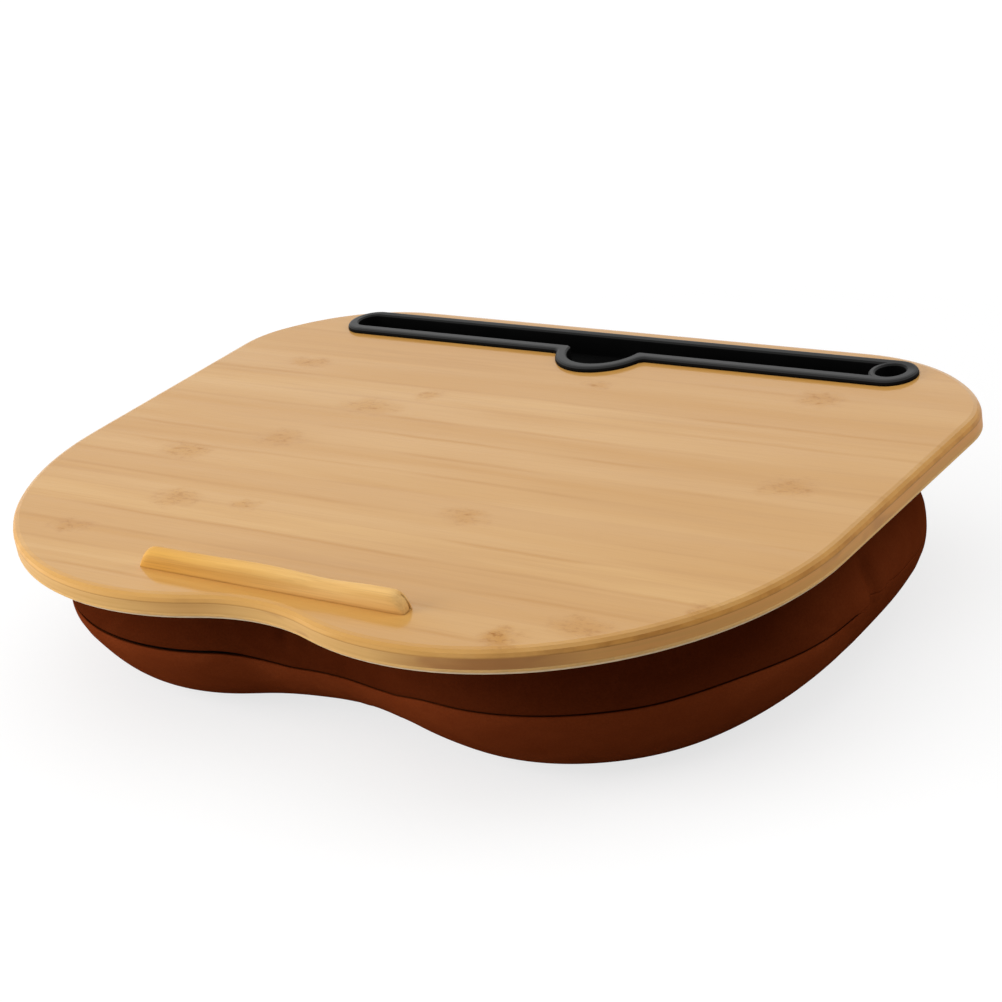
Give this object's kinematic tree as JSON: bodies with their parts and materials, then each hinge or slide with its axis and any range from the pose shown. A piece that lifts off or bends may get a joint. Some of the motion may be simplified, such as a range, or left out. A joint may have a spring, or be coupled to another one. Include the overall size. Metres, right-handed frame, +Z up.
{
  "type": "cushioned lap desk",
  "caption": "Lap desk: a contoured bamboo board with a rear media slot, pen hole and front stop ledge, on a fabric cushion with a concealed zip.",
  "frame": {"origin": "middle of the flat cushion bottom, the face that lies on the lap or table", "axes": "+X to the user's right along the board's width, +Y away from the user, +Z up"},
  "size_m": [0.44, 0.332, 0.097],
  "materials": {
    "bamboo_face": "satin",
    "bamboo_core": "satin",
    "bamboo_back": "satin",
    "bamboo_ledge": "satin",
    "black_plastic": "satin",
    "cover_fabric": "matte",
    "filling": "matte",
    "hardboard": "matte",
    "zip_tape": "matte",
    "zip_metal": "satin"
  },
  "bodies": {
    "desk": {"board_face_ply": "bamboo_face", "board_core_ply": "bamboo_core", "board_back_ply": "bamboo_back", "stop_ledge": "bamboo_ledge", "slot_insert": "black_plastic", "cover_upper": "cover_fabric", "cover_lower": "cover_fabric", "foam_filling": "filling", "backing_panel": "hardboard", "zip_half_upper": "zip_tape", "zip_half_lower": "zip_tape", "zip_stops": "zip_metal"},
    "slider": {"zip_slider": "zip_metal"},
    "pull": {"zip_pull": "zip_metal"}
  },
  "joints": [
    {"name": "zip_run", "type": "hinge", "parent": "desk", "child": "slider", "pos_m": [-0.091, -0.019, 0.041], "axis": [0, 0, 1], "range_deg": [0, 105]},
    {"name": "pull_flip", "type": "hinge", "parent": "slider", "child": "pull", "pos_m": [-0.21138, -0.02441, 0.041], "axis": [0, 0, 1], "range_deg": [0, 170]}
  ]
}
